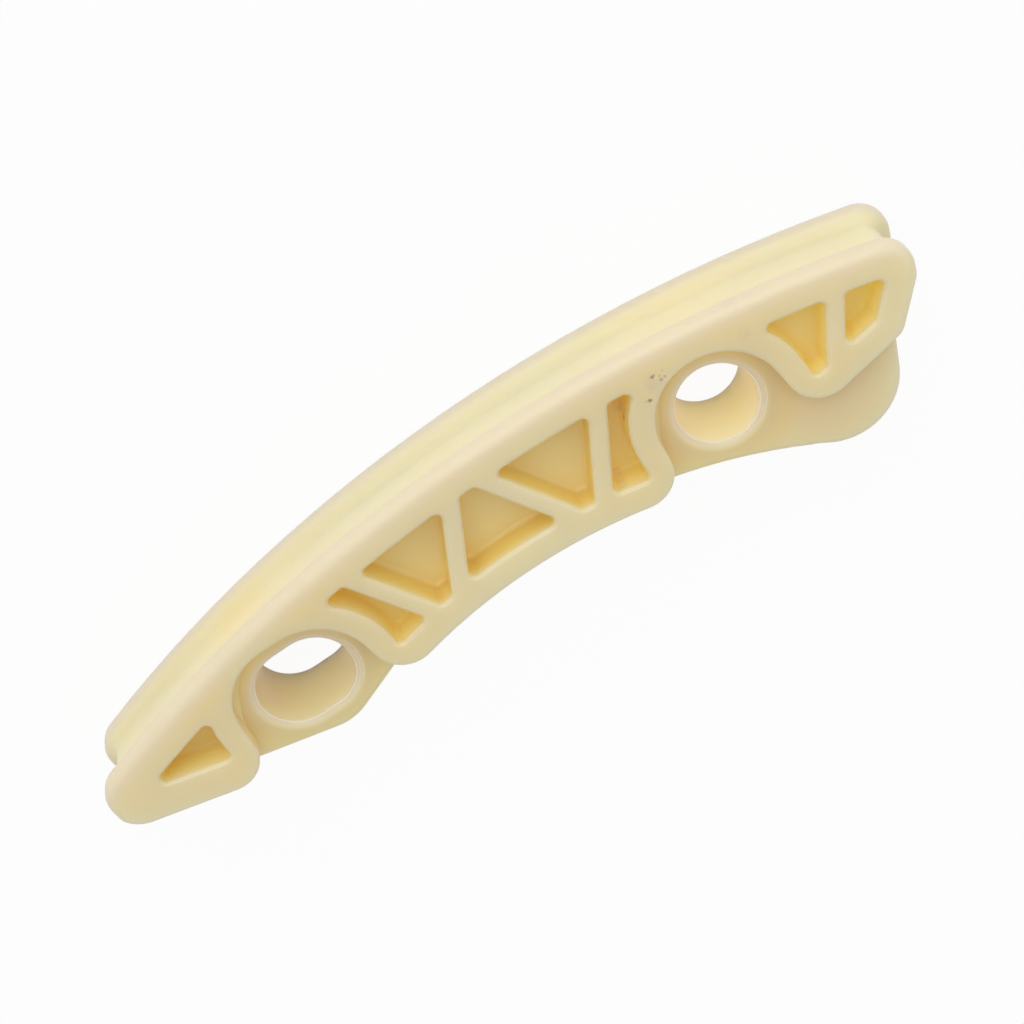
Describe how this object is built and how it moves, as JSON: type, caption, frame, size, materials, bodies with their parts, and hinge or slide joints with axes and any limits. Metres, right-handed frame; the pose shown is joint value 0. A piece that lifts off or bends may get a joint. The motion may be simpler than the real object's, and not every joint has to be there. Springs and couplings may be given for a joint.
{
  "type": "balance shaft chain guide",
  "caption": "Curved plastic chain guide: railed convex running face, truss-ribbed body, and a round and a slotted bolt hole sunk in open recesses.",
  "frame": {"origin": "On the axis of the round bolt hole, at the mounting face (z = 0) that lies on the engine.", "axes": "+X runs along the guide from the slotted bolt hole towards the round one, +Y points towards the convex chain face, +Z runs along the bolts from the mounting face to the ribbed front face."},
  "size_m": [0.1161, 0.0287, 0.014],
  "materials": {
    "nylon": "satin"
  },
  "bodies": {
    "root": {"chain_guide": "nylon"}
  },
  "joints": []
}
